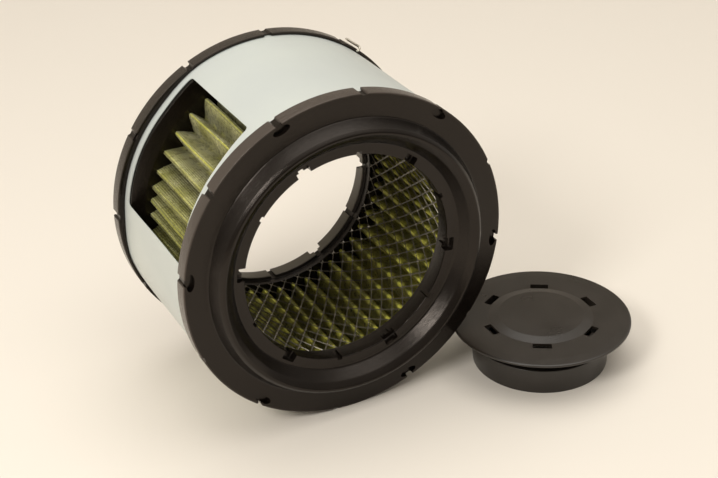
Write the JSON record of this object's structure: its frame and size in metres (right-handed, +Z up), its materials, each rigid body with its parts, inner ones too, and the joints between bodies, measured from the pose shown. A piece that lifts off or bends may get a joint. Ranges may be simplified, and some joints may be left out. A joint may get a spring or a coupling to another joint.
{
  "type": "air filter element with end cap",
  "caption": "Round pleated air filter element with moulded end rings, a windowed outer shell and an open diamond mesh cage, with a separate snap-together end cap.",
  "frame": {"origin": "middle of the bottom of the box round the element and its cap, on the surface they lie on", "axes": "+Z up; +Y along the element's axis from its front ring to its rear ring; +X from the element towards the loose cap"},
  "size_m": [0.2796, 0.1916, 0.1997],
  "materials": {
    "ring_polyurethane": "satin moulded polyurethane",
    "shell_sheet": "smooth pale blue-white sheet",
    "screen_wire": "fine coated wire cloth",
    "filter_gauze": "pleated yellow-green gauze",
    "seam_strip": "plain crimped strip",
    "cage_metal": "dull expanded metal",
    "clip_wire": "bright bent wire",
    "cap_plastic": "satin moulded plastic"
  },
  "bodies": {
    "element": {"front_end_ring": "ring_polyurethane", "rear_end_ring": "ring_polyurethane", "outer_shell": "shell_sheet", "outer_wire_screen": "screen_wire", "pleated_media": "filter_gauze", "inner_wire_screen": "screen_wire", "media_seam_clip": "seam_strip", "inner_cage": "cage_metal", "rim_wire_clip": "clip_wire"},
    "cap": {"cap_disc": "cap_plastic", "cap_collar": "cap_plastic"}
  },
  "joints": [
    {"name": "cap_draw_out", "type": "slide", "parent": "element", "child": "cap", "axis": [1, 0, 0], "range_m": [0, 0.12]}
  ]
}
